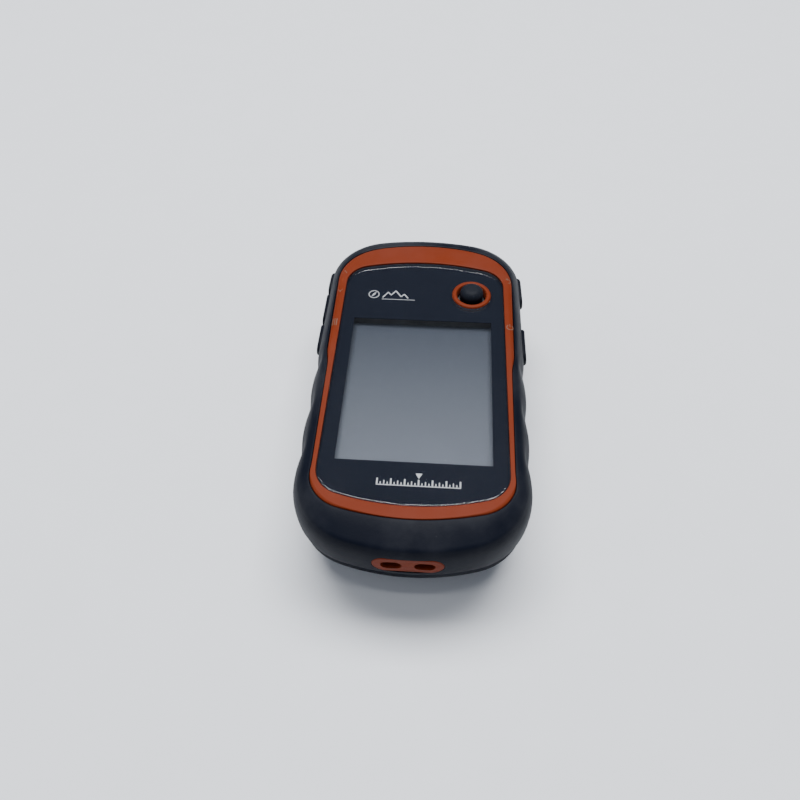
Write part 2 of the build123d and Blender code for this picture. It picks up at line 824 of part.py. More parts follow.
# ================================================================ cover and lock
def make_battery_cover():
    cover = skin_outer & prism(cover_outline(), back_z - 1, cover_seat_z)
    cover += prism(cover_lip_outline(0), cover_seat_z - 0.4, cover_seat_z + bay_gap * 0.5)
    middle = (spine_top + spine_bottom) / 2
    neck = Pos(0, middle) * RectangleRounded(spine_neck, spine_top - spine_bottom - 3.4, 2.0)
    flange = Pos(0, middle) * RectangleRounded(spine_width, spine_top - spine_bottom, 3.0)
    cover += prism(neck, 0, back_z + 0.5)
    cover += prism(flange, 0, spine_flange)
    cover += peg(0, lock_y, lock_face_z, back_z + 0.5, lock_boss_radius)
    cover += prism(
        Pos(0, (spine_bottom + lock_y) / 2) * Rectangle(spine_neck, spine_bottom - lock_y), 0.5, back_z + 0.5
    )
    cover -= peg(0, lock_y, -1, knob_face_z + knob_thickness + fit_gap, knob_radius + move_gap)
    cover -= peg(0, lock_y, -1, cover_seat_z + 1, lock_shaft_radius + fit_gap)
    for side in (-1, 1):
        x = side * tab_spacing / 2
        cover += block(
            x - tab_width / 2, x + tab_width / 2, cover_top - 2.0, cover_top + tab_reach,
            cover_seat_z - tab_thickness, cover_seat_z,
        )
    return cover


def cover_lip_outline(offset):
    return Pos(0, bay_centre_y) * Rectangle(
        2 * (bay_half - move_gap + offset), bay_top - bay_bottom - 2 * move_gap + 2 * offset
    )


spine_top = cover_top - spine_top_margin
spine_bottom = cover_bottom + spine_bottom_margin


def make_lock():
    knob = peg(0, lock_y, knob_face_z, knob_face_z + knob_thickness, knob_radius)
    knob += block(
        -bridge_width / 2, bridge_width / 2, lock_y - 1.1, lock_y + 1.1, lock_face_z, knob_face_z + 0.1
    )
    knob += peg(0, lock_y, knob_face_z, cam_z, lock_shaft_radius)
    bar_z = lock_face_z + 0.3 + ring_wire
    knob -= along_x(Circle(ring_wire + 0.05), lock_y, bar_z, -bridge_width, bridge_width)

    cam = peg(0, lock_y, cam_z, cam_z + cam_thickness, lock_shaft_radius)
    cam += Pos(0, lock_y, 0) * block(-cam_length / 2, cam_length / 2, -cam_width / 2, cam_width / 2,
                                     cam_z, cam_z + cam_thickness)

    bar = along_x(Circle(ring_wire), lock_y, bar_z, -ring_radius, ring_radius)
    bow = Pos(0, lock_y, bar_z) * Torus(ring_radius, ring_wire)
    bow &= block(-8, 8, lock_y - 8, lock_y, -3, 6)
    return {"lock_knob": knob, "lock_cam": cam, "lock_ring": bar + bow}


# ================================================================ port cap
def make_cap_parts():
    cap = skin_outer & prism(cap_outline(), back_z - 1, back_z + cap_thickness)
    lip = prism(port_outline(), back_z + cap_thickness - 0.3, back_z + cap_thickness + cap_lip_height)
    lip -= prism(port_outline(-cap_lip), back_z + cap_thickness, back_z + cap_thickness + 3)
    cap += lip
    cap += along_x(Circle(cap_bead), cap_top, back_z, -strap_half_width, strap_half_width)
    anchor = skin_outer & block(
        -strap_half_width, strap_half_width, cap_top + cap_bead + fit_gap, cap_top + strap_length + fit_gap,
        back_z - 1, back_z + cap_thickness,
    )
    return {"usb_cap": cap, "usb_cap_anchor": anchor}


# ================================================================ fasteners
def make_screws():
    head_z = ledge_z + 0.9
    case_screws = []
    for x, y in case_screw_places:
        screw = peg(x, y, head_z - screw_head_height, head_z, screw_head)
        screw -= peg(x, y, head_z - screw_head_height - 1, head_z - screw_head_height + 0.8, 0.8)
        screw += peg(x, y, head_z, split_z + 8, screw_radius)
        case_screws.append(screw.solid())
    board_screws = []
    for x, y in board_screw_places:
        screw = peg(x, y, board_z - 0.9, board_z, screw_head - 0.2)
        screw += peg(x, y, board_z, inner_front_z - 1.2, screw_radius - 0.25)
        board_screws.append(screw.solid())
    return Compound(case_screws), Compound(board_screws)


skin_proud = skin(-key_proud)
skin_key_seat = skin(wing_depth)
skin_key_back = skin(wing_depth + key_wing)


def make_all():
    pieces = {
        "rubber_grip": make_rubber_grip(),
        "bezel_band": make_bezel_band(),
        "front_case": make_front_case(),
        "rear_case": make_rear_case(),
        "case_gasket": gasket_ring(),
        "display_lens": make_display_lens(),
        "lens_mask": make_lens_mask(),
        "stick_ring": make_stick_ring(),
        "lanyard_insert": make_lanyard_insert(),
        "main_board": make_main_board(),
        "usb_socket": make_usb_socket(),
        "key_switches": make_key_switches(),
        "battery_cells": make_cells(),
        "battery_cover": make_battery_cover(),
    }
    pieces.update(make_display_parts())
    pieces.update(make_board_pieces())
    pieces.update(make_card_pieces())
    pieces.update(make_stick_parts())
    pieces.update(make_lock())
    pieces.update(make_cap_parts())
    for name, side, margin, length in keys:
        pieces[name] = make_key(side, margin, length)
    pieces["contact_plates"], pieces["contact_springs"] = make_contacts()
    pieces["case_screws"], pieces["board_screws"] = make_screws()
    return pieces


os.makedirs("parts", exist_ok=True)
for node, shape in make_all().items():
    export_step(shape, f"parts/{node}.step")
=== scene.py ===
import json
from math import atan2, cos, pi, radians, sin, sqrt

import bmesh
import bpy
import numpy as np
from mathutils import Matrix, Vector


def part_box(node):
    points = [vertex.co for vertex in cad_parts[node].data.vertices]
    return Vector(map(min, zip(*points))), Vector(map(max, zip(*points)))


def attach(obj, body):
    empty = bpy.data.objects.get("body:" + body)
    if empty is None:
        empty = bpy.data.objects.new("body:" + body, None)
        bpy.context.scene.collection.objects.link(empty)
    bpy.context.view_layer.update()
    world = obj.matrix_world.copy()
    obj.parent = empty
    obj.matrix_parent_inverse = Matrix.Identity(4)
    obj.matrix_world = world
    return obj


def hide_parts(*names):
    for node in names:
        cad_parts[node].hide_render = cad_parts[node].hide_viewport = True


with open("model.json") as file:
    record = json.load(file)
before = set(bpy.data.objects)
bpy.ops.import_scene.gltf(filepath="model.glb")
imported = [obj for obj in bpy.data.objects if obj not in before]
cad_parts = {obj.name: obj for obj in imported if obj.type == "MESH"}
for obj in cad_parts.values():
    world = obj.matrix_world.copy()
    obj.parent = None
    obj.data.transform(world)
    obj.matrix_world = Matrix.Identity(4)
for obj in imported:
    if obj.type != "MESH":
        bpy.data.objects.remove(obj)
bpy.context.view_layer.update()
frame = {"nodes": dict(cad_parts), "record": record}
mm = 0.001
print("frame loaded,", len(frame["nodes"]), "CAD nodes")


def boxMm(node):
    low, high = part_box(node)
    return [c / mm for c in low], [c / mm for c in high]


gripLow, gripHigh = boxMm("rubber_grip")
bandLow, bandHigh = boxMm("bezel_band")
lensLow, lensHigh = boxMm("display_lens")
maskTop = boxMm("lens_mask")[1][2]
backZ = boxMm("rear_case")[0][2]
ringLow, ringHigh = boxMm("stick_ring")
capLow, capHigh = boxMm("stick_cap")
stickX = (ringLow[0] + ringHigh[0]) / 2
stickY = (ringLow[1] + ringHigh[1]) / 2

# the body's outline and its profile: share of the height, then side, top and bottom insets
body = {
    "halfLength": gripHigh[1],
    "halfWidth": gripHigh[0],
    "frontZ": gripHigh[2],
    "backZ": backZ,
    "splitZ": gripLow[2],
    "taper": 0.7,
    "corners": (16.0, 17.0),
    "crowns": (65.0, 53.0),
    "below": [
        (0.000, 8.00, 9.50, 10.60),
        (0.100, 3.60, 4.70, 6.90),
        (0.250, 1.75, 2.50, 4.60),
        (0.430, 0.60, 1.00, 2.30),
        (0.560, 0.15, 0.25, 0.65),
        (0.680, 0.00, 0.00, 0.05),
        (0.780, 0.12, 0.35, 0.00),
        (0.860, 0.65, 1.55, 0.25),
        (0.920, 1.40, 3.20, 0.85),
    ],
    "above": [
        (0.920, 1.40, 3.20, 0.85),
        (0.960, 2.15, 4.60, 3.60),
        (0.985, 2.95, 6.00, 5.60),
        (1.000, 4.00, 8.30, 7.30),
    ],
}
# how many edges each stretch of an outline has, from the top's middle down to the bottom's
stretches = {"crown": 12, "corner": 14, "side": 54}


def halfOutline(halfTop, halfBottom, top, bottom, rounds, crowns, shift=None):
    # right half of a barrel outline, as (x, y) from the middle of the top end to that of the bottom end
    def corner(half, end, radius, crown, sign):
        cornerX = half - radius
        crownY = end - sign * crown
        cornerY = crownY + sign * sqrt((crown - radius) ** 2 - cornerX**2)
        return cornerX, cornerY, crownY, atan2(cornerX, sign * (cornerY - crownY))

    topX, topY, topCrownY, topTurn = corner(halfTop, top, rounds[0], crowns[0], 1)
    lowX, lowY, lowCrownY, lowTurn = corner(halfBottom, bottom, rounds[1], crowns[1], -1)
    points = []
    for k in range(stretches["crown"]):
        turn = topTurn * k / stretches["crown"]
        points.append((crowns[0] * sin(turn), topCrownY + crowns[0] * cos(turn)))
    for k in range(stretches["corner"]):
        turn = topTurn + (pi / 2 - topTurn) * k / stretches["corner"]
        points.append((topX + rounds[0] * sin(turn), topY + rounds[0] * cos(turn)))
    for k in range(stretches["side"]):
        share = k / stretches["side"]
        points.append((halfTop + (halfBottom - halfTop) * share, topY + (lowY - topY) * share))
    for k in range(stretches["corner"]):
        turn = pi / 2 + (lowTurn - pi / 2) * k / stretches["corner"]
        points.append((lowX + rounds[1] * sin(turn), lowY - rounds[1] * cos(turn)))
    for k in range(stretches["crown"] + 1):
        turn = lowTurn * (1 - k / stretches["crown"])
        points.append((crowns[1] * sin(turn), lowCrownY - crowns[1] * cos(turn)))
    if shift:
        points = [(x - shift(y) * min(1, x / 8), y) for x, y in points]
    return points


def fullOutline(*facts, **more):
    right = halfOutline(*facts, **more)
    return np.array(right + [(-x, y) for x, y in reversed(right[1:-1])])


def smoothRow(rows, share):
    # a smooth curve through the profile's rows
    last = len(rows) - 1
    k = max(0, min(last - 1, next((n for n in range(last) if share < rows[n + 1][0]), last - 1)))
    a, b = rows[k], rows[k + 1]
    span = b[0] - a[0]
    t = (share - a[0]) / span
    before = rows[k - 1] if k > 0 else None
    after = rows[k + 2] if k + 2 <= last else None
    out = []
    for c in (1, 2, 3):
        slope = (b[c] - a[c]) / span
        startSlope = (b[c] - before[c]) / (b[0] - before[0]) if before else slope
        endSlope = (after[c] - a[c]) / (after[0] - a[0]) if after else slope
        out.append(
            (2 * t**3 - 3 * t**2 + 1) * a[c] + (t**3 - 2 * t**2 + t) * span * startSlope
            + (-2 * t**3 + 3 * t**2) * b[c] + (t**3 - t**2) * span * endSlope
        )
    return out


creaseShare = body["above"][0][0]


def insetsAt(share):
    return smoothRow(body["below"] if share < creaseShare else body["above"], share)


# finger lobes down both sides
lobes = {"depth": 0.62, "firstY": 1.1, "lastY": -26.0, "pitch": 13.55, "soft": 0.02, "runOut": 0.42,
         "highZ": 30.0, "highFade": 2.2, "lowZ": 11.5, "lowFade": 4.0}


def lobeInset(y, z):
    first, last, run = lobes["firstY"], lobes["lastY"], lobes["pitch"] * lobes["runOut"]
    phase = (y - first) / lobes["pitch"]
    wave = 1 - sqrt(sin(pi * phase) ** 2 * (1 - lobes["soft"]) + lobes["soft"])
    wave /= 1 - sqrt(lobes["soft"])
    if y > first:
        wave *= max(0.0, 1 - (y - first) / run) ** 0.6
    if y < last:
        wave *= max(0.0, 1 - (last - y) / run) ** 0.6
    high = min(1.0, max(0.0, (lobes["highZ"] - z) / lobes["highFade"]))
    low = min(1.0, max(0.0, (z - lobes["lowZ"]) / lobes["lowFade"]))
    return lobes["depth"] * wave * high * low


def sectionPoints(share, inset=0.0, lobed=True):
    side, top, bottom = insetsAt(share)
    z = body["backZ"] + share * (body["frontZ"] - body["backZ"])
    half = body["halfWidth"] - side - inset
    outline = fullOutline(
        half - body["taper"], half, body["halfLength"] - top - inset, -body["halfLength"] + bottom + inset,
        (body["corners"][0] - inset - 0.3 * top, body["corners"][1] - inset - 0.7 * bottom), body["crowns"],
        shift=(lambda y: lobeInset(y, z)) if lobed else None,
    )
    return outline, z


# the front face's outlines
lensFacts = {"taper": 0.35, "corner": 6.8, "crown": 60.0}
bandFacts = {"halfUp": 23.5, "halfLow": 23.2, "step": 0.75, "stepY": 3.5, "stepLength": 5.8,
             "easeY": -32.0, "easeLength": 4.0, "easeShare": 0.55,
             "corners": (13.0, 9.5), "crowns": (47.0, 62.0)}


def lensOutline(offset=0.0):
    half = lensHigh[0] + offset
    corner = lensFacts["corner"] + offset
    crown = lensFacts["crown"] + offset
    return fullOutline(half - lensFacts["taper"], half, lensHigh[1] + offset, lensLow[1] - offset,
                       (corner, corner), (crown, crown))


def bandOutline(offset=0.0):
    def step(y):
        t = min(1.0, max(0.0, (bandFacts["stepY"] - y) / bandFacts["stepLength"]))
        rise = min(1.0, max(0.0, (bandFacts["easeY"] - y) / bandFacts["easeLength"]))
        return bandFacts["step"] * (t * t * (3 - 2 * t)) * (1 - rise * bandFacts["easeShare"])

    corners = (bandFacts["corners"][0] + offset, bandFacts["corners"][1] + offset)
    return fullOutline(
        bandFacts["halfUp"] + offset, bandFacts["halfLow"] + offset, bandHigh[1] + offset,
        bandLow[1] - offset, corners, bandFacts["crowns"], shift=step,
    )


# the skin as a table of sections; past share 1 it runs on over the flat front to the lens
flatEnd = 1.3
skinShares = np.concatenate([np.linspace(0.2, 1.0, 220), np.linspace(1.0, flatEnd, 40)[1:]])
flatStart, frontZ = sectionPoints(1.0)
lensPlan = lensOutline(0.12)
skinPlans, skinHeights = [], []
for share in skinShares:
    if share <= 1:
        plan, z = sectionPoints(share)
    else:
        t = (share - 1) / (flatEnd - 1)
        plan, z = flatStart * (1 - t) + lensPlan * t, frontZ
    skinPlans.append(plan)
    skinHeights.append(z)
skinPlans = np.array(skinPlans)
skinHeights = np.array(skinHeights)
columnCount = skinPlans.shape[1]


def skinRing(shares, inset=0.0, drop=0.0):
    # one closed ring of points on the skin; each column has its own share of the height
    points = []
    for k in range(columnCount):
        share = shares[k] if hasattr(shares, "__len__") else shares
        x = np.interp(share, skinShares, skinPlans[:, k, 0])
        y = np.interp(share, skinShares, skinPlans[:, k, 1])
        z = np.interp(share, skinShares, skinHeights)
        if inset:
            left, right = skinPlans[0, (k - 1) % columnCount], skinPlans[0, (k + 1) % columnCount]
            along = right - left
            out = np.array((along[1], -along[0])) / np.linalg.norm(along)
            x, y = x + out[0] * inset, y + out[1] * inset
        points.append((x, y, z - drop))
    return points


def insideOutline(points, outline):
    nextOnes = np.roll(outline, -1, axis=0)
    x, y = points[:, 0, None], points[:, 1, None]
    straddles = (outline[:, 1] > y) != (nextOnes[:, 1] > y)
    rise = nextOnes[:, 1] - outline[:, 1]
    rise = np.where(np.abs(rise) < 1e-12, 1e-12, rise)
    crossX = outline[:, 0] + (y - outline[:, 1]) / rise * (nextOnes[:, 0] - outline[:, 0])
    return (straddles & (x < crossX)).sum(axis=1) % 2 == 1


def crossingShares(outline):
    # where each column of the skin passes an outline drawn on the front
    shares = np.zeros(columnCount)
    was = insideOutline(skinPlans[0], outline)
    for row in range(1, len(skinShares)):
        now = insideOutline(skinPlans[row], outline)
        fresh = now & ~was & (shares == 0)
        shares[fresh] = (skinShares[row] + skinShares[row - 1]) / 2
        was = now
    # refine between rows
    for k in range(columnCount):
        low, high = shares[k] - 0.01, shares[k] + 0.01
        for _ in range(14):
            middle = (low + high) / 2
            point = np.array([[np.interp(middle, skinShares, skinPlans[:, k, 0]),
                               np.interp(middle, skinShares, skinPlans[:, k, 1])]])
            if insideOutline(point, outline)[0]:
                high = middle
            else:
                low = middle
        shares[k] = (low + high) / 2
    return shares


# ---- mesh helpers, all in millimetres until an object is made


def loopEdges(verts):
    edges = []
    for a, b in zip(verts, verts[1:] + verts[:1]):
        edges.append(next(e for e in a.link_edges if e.other_vert(a) is b))
    return edges


def placeVerts(verts, points):
    for vert, point in zip(verts, points):
        vert.co = point


def extrudeLoop(bm, loop, points):
    made = bmesh.ops.extrude_edge_only(bm, edges=loopEdges(loop))
    fresh = {v for v in made["geom"] if isinstance(v, bmesh.types.BMVert)}
    newLoop = [next(e.other_vert(v) for e in v.link_edges if e.other_vert(v) in fresh) for v in loop]
    placeVerts(newLoop, points)
    return newLoop


def loftRings(rings, closed=False, capEnds=False):
    bm = bmesh.new()
    first = bmesh.ops.create_circle(bm, segments=len(rings[0]), radius=1.0)["verts"]
    placeVerts(first, rings[0])
    loop = first
    for ring in rings[1:]:
        loop = extrudeLoop(bm, loop, ring)
    if closed:
        bmesh.ops.bridge_loops(bm, edges=loopEdges(first) + loopEdges(loop))
    if capEnds:
        bmesh.ops.contextual_create(bm, geom=first)
        bmesh.ops.contextual_create(bm, geom=loop)
    bmesh.ops.recalc_face_normals(bm, faces=bm.faces)
    return bm


def makeObject(name, bm, material, bodyName, smooth=True, sharpDegrees=None):
    bmesh.ops.scale(bm, vec=(mm, mm, mm), verts=bm.verts)
    if sharpDegrees:
        for edge in bm.edges:
            if len(edge.link_faces) == 2 and edge.calc_face_angle(0) > radians(sharpDegrees):
                edge.smooth = False
    mesh = bpy.data.meshes.new(name)
    bm.to_mesh(mesh)
    bm.free()
    for face in mesh.polygons:
        face.use_smooth = smooth
    obj = bpy.data.objects.new(name, mesh)
    bpy.context.scene.collection.objects.link(obj)
    obj.data.materials.append(material)
    if bodyName:
        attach(obj, bodyName)
    return obj


def subdivide(obj, levels=1):
    mod = obj.modifiers.new("smooth", "SUBSURF")
    mod.levels = levels
    mod.render_levels = levels
    return mod


def spinProfile(profile, centre, steps=64, bumps=None):
    # turns (radius, z) points about a vertical axis through centre
    bm = bmesh.new()
    verts = [bm.verts.new((r, 0, z)) for r, z in profile]
    edges = [bm.edges.new(pair) for pair in zip(verts, verts[1:])]
    bmesh.ops.spin(bm, geom=verts + edges, axis=(0, 0, 1), cent=(0, 0, 0), steps=steps, angle=2 * pi,
                   use_merge=True, use_duplicate=False)
    bmesh.ops.remove_doubles(bm, verts=bm.verts, dist=0.001)
    bmesh.ops.recalc_face_normals(bm, faces=bm.faces)
    if bumps:
        bumps(bm)
    bmesh.ops.translate(bm, vec=(centre[0], centre[1], 0), verts=bm.verts)
    return bm


def applyCuts(obj, cutters):
    # cuts the shapes out of obj for good, then removes the cutters
    for cutter in cutters:
        mod = obj.modifiers.new("cut", "BOOLEAN")
        mod.operation = "DIFFERENCE"
        mod.solver = "EXACT"
        mod.object = cutter
    bpy.context.view_layer.update()
    result = bpy.data.meshes.new_from_object(obj.evaluated_get(bpy.context.evaluated_depsgraph_get()))
    obj.modifiers.clear()
    obj.data = result
    for cutter in cutters:
        bpy.data.objects.remove(cutter)


def markSharp(obj, degrees):
    bm = bmesh.new()
    bm.from_mesh(obj.data)
    for face in bm.faces:
        face.smooth = True
    for edge in bm.edges:
        edge.smooth = not (len(edge.link_faces) == 2 and edge.calc_face_angle(0) > radians(degrees))
    bm.to_mesh(obj.data)
    bm.free()


# ---- shader node groups


def groupShell(name, inputs, outputs):
    tree = bpy.data.node_groups.new(name, "ShaderNodeTree")
    for label, kind, value in inputs:
        socket = tree.interface.new_socket(name=label, in_out="INPUT", socket_type=kind)
        if value is not None:
            socket.default_value = value
    for label, kind in outputs:
        tree.interface.new_socket(name=label, in_out="OUTPUT", socket_type=kind)
    return tree, tree.nodes.new("NodeGroupInput"), tree.nodes.new("NodeGroupOutput")


def mathNode(tree, operation, a, b, clamp=False):
    node = tree.nodes.new("ShaderNodeMath")
    node.operation = operation
    node.use_clamp = clamp
    for socket, value in zip(node.inputs, (a, b)):
        if isinstance(value, (int, float)):
            socket.default_value = value
        else:
            tree.links.new(value, socket)
    return node.outputs[0]


def noiseNode(tree, vector, scale, detail=2.0, rough=0.5):
    node = tree.nodes.new("ShaderNodeTexNoise")
    node.inputs["Detail"].default_value = detail
    node.inputs["Roughness"].default_value = rough
    tree.links.new(vector, node.inputs["Vector"])
    if isinstance(scale, (int, float)):
        node.inputs["Scale"].default_value = scale
    else:
        tree.links.new(scale, node.inputs["Scale"])
    return node.outputs["Fac"]


def rampNode(tree, value, low, high):
    node = tree.nodes.new("ShaderNodeMapRange")
    node.interpolation_type = "SMOOTHSTEP"
    tree.links.new(value, node.inputs["Value"])
    node.inputs["From Min"].default_value = low
    node.inputs["From Max"].default_value = high
    return node.outputs["Result"]


def buildGrain():
    # fine cells of a moulding texture, with softer waves under them
    tree, start, end = groupShell(
        "mouldGrain",
        [("Vector", "NodeSocketVector", None), ("Scale", "NodeSocketFloat", 2600.0)],
        [("Height", "NodeSocketFloat"), ("Mottle", "NodeSocketFloat")],
    )
    cells = tree.nodes.new("ShaderNodeTexVoronoi")
    cells.feature = "SMOOTH_F1"
    tree.links.new(start.outputs["Vector"], cells.inputs["Vector"])
    tree.links.new(start.outputs["Scale"], cells.inputs["Scale"])
    coarse = mathNode(tree, "MULTIPLY", start.outputs["Scale"], 0.31)
    waves = noiseNode(tree, start.outputs["Vector"], coarse, 3.0)
    height = mathNode(tree, "ADD", mathNode(tree, "MULTIPLY", cells.outputs["Distance"], 0.7), waves)
    tree.links.new(height, end.inputs["Height"])
    broad = noiseNode(tree, start.outputs["Vector"], 62.0, 4.0, 0.62)
    tree.links.new(rampNode(tree, broad, 0.30, 0.72), end.inputs["Mottle"])
    return tree


def buildWear():
    # rubbed edges: convex edges broken up by noise
    tree, start, end = groupShell(
        "edgeRub",
        [("Vector", "NodeSocketVector", None), ("Amount", "NodeSocketFloat", 0.5)],
        [("Mask", "NodeSocketFloat")],
    )
    shape = tree.nodes.new("ShaderNodeNewGeometry")
    edge = rampNode(tree, shape.outputs["Pointiness"], 0.515, 0.60)
    broken = rampNode(tree, noiseNode(tree, start.outputs["Vector"], 420.0, 5.0, 0.65), 0.38, 0.66)
    worn = mathNode(tree, "MULTIPLY", edge, broken)
    mask = mathNode(tree, "MULTIPLY", worn, start.outputs["Amount"], True)
    tree.links.new(mask, end.inputs["Mask"])
    return tree


def buildDust():
    # faint dust and finger marks in soft patches with a few specks
    tree, start, end = groupShell(
        "handlingDust",
        [("Vector", "NodeSocketVector", None), ("Amount", "NodeSocketFloat", 0.5)],
        [("Film", "NodeSocketFloat"), ("Specks", "NodeSocketFloat")],
    )
    patches = rampNode(tree, noiseNode(tree, start.outputs["Vector"], 38.0, 5.0, 0.6), 0.42, 0.78)
    film = mathNode(tree, "MULTIPLY", patches, start.outputs["Amount"], True)
    tree.links.new(film, end.inputs["Film"])
    dots = tree.nodes.new("ShaderNodeTexVoronoi")
    dots.inputs["Scale"].default_value = 520.0
    tree.links.new(start.outputs["Vector"], dots.inputs["Vector"])
    near = mathNode(tree, "SUBTRACT", 1.0, rampNode(tree, dots.outputs["Distance"], 0.03, 0.07))
    rare = rampNode(tree, noiseNode(tree, start.outputs["Vector"], 150.0, 2.0), 0.60, 0.66)
    dots = mathNode(tree, "MULTIPLY", near, rare)
    specks = mathNode(tree, "MULTIPLY", dots, start.outputs["Amount"], True)
    tree.links.new(specks, end.inputs["Specks"])
    return tree


grainGroup = buildGrain()
wearGroup = buildWear()
dustGroup = buildDust()


def addGroup(tree, group, vector, **values):
    node = tree.nodes.new("ShaderNodeGroup")
    node.node_tree = group
    tree.links.new(vector, node.inputs["Vector"])
    for label, value in values.items():
        node.inputs[label].default_value = value
    return node


def mixColor(tree, factor, a, b):
    node = tree.nodes.new("ShaderNodeMix")
    node.data_type = "RGBA"
    if isinstance(factor, (int, float)):
        node.inputs["Factor"].default_value = factor
    else:
        tree.links.new(factor, node.inputs["Factor"])
    for socket, value in ((node.inputs[6], a), (node.inputs[7], b)):
        if isinstance(value, (tuple, list)):
            socket.default_value = (*value, 1.0)
        else:
            tree.links.new(value, socket)
    return node.outputs[2]


def makeMaterial(name, look):
    # look: color, tint (second colour of the mottle), worn, rough, roughSpread, grain, depth, dust, wear, ...
    mat = bpy.data.materials.new(name)
    mat.use_nodes = True
    tree = mat.node_tree
    shader = tree.nodes["Principled BSDF"]
    where = tree.nodes.new("ShaderNodeTexCoord").outputs["Object"]
    grain = addGroup(tree, grainGroup, where, Scale=look.get("grain", 2600.0))
    wear = addGroup(tree, wearGroup, where, Amount=look.get("wear", 0.3))
    dust = addGroup(tree, dustGroup, where, Amount=look.get("dust", 0.15))
    color = mixColor(tree, grain.outputs["Mottle"], look["color"], look.get("tint", look["color"]))
    if "fade" in look:
        # painted shade: the panel's colour darkens towards its upper end, standing in for the shade that
        # falls on it there
        lowY, highY, shadedTopColor = look["fade"]
        parts = tree.nodes.new("ShaderNodeSeparateXYZ")
        tree.links.new(where, parts.inputs[0])
        span = tree.nodes.new("ShaderNodeMapRange")
        tree.links.new(parts.outputs["Y"], span.inputs["Value"])
        span.inputs["From Min"].default_value = lowY
        span.inputs["From Max"].default_value = highY
        color = mixColor(tree, span.outputs["Result"], color, shadedTopColor)
    color = mixColor(tree, wear.outputs["Mask"], color, look.get("worn", look["color"]))
    color = mixColor(tree, dust.outputs["Film"], color, look.get("dustColor", (0.36, 0.37, 0.39)))
    color = mixColor(tree, dust.outputs["Specks"], color, (0.55, 0.55, 0.56))
    tree.links.new(color, shader.inputs["Base Color"])
    spread = look.get("roughSpread", 0.08)
    rough = mathNode(tree, "MULTIPLY", grain.outputs["Mottle"], spread)
    rough = mathNode(tree, "ADD", rough, look["rough"] - spread / 2)
    rough = mathNode(tree, "ADD", rough, mathNode(tree, "MULTIPLY", dust.outputs["Film"], 0.35), True)
    tree.links.new(rough, shader.inputs["Roughness"])
    shader.inputs["Metallic"].default_value = look.get("metallic", 0.0)
    shader.inputs["Specular IOR Level"].default_value = look.get("specular", 0.5)
    shader.inputs["Coat Weight"].default_value = look.get("coat", 0.0)
    shader.inputs["Coat Roughness"].default_value = look.get("coatRough", 0.1)
    shader.inputs["Sheen Weight"].default_value = look.get("sheen", 0.0)
    shader.inputs["Sheen Roughness"].default_value = 0.5
    bump = tree.nodes.new("ShaderNodeBump")
    bump.inputs["Strength"].default_value = look.get("bump", 0.4)
    bump.inputs["Distance"].default_value = look.get("depth", 0.00003)
    tree.links.new(grain.outputs["Height"], bump.inputs["Height"])
    tree.links.new(bump.outputs["Normal"], shader.inputs["Normal"])
    return mat


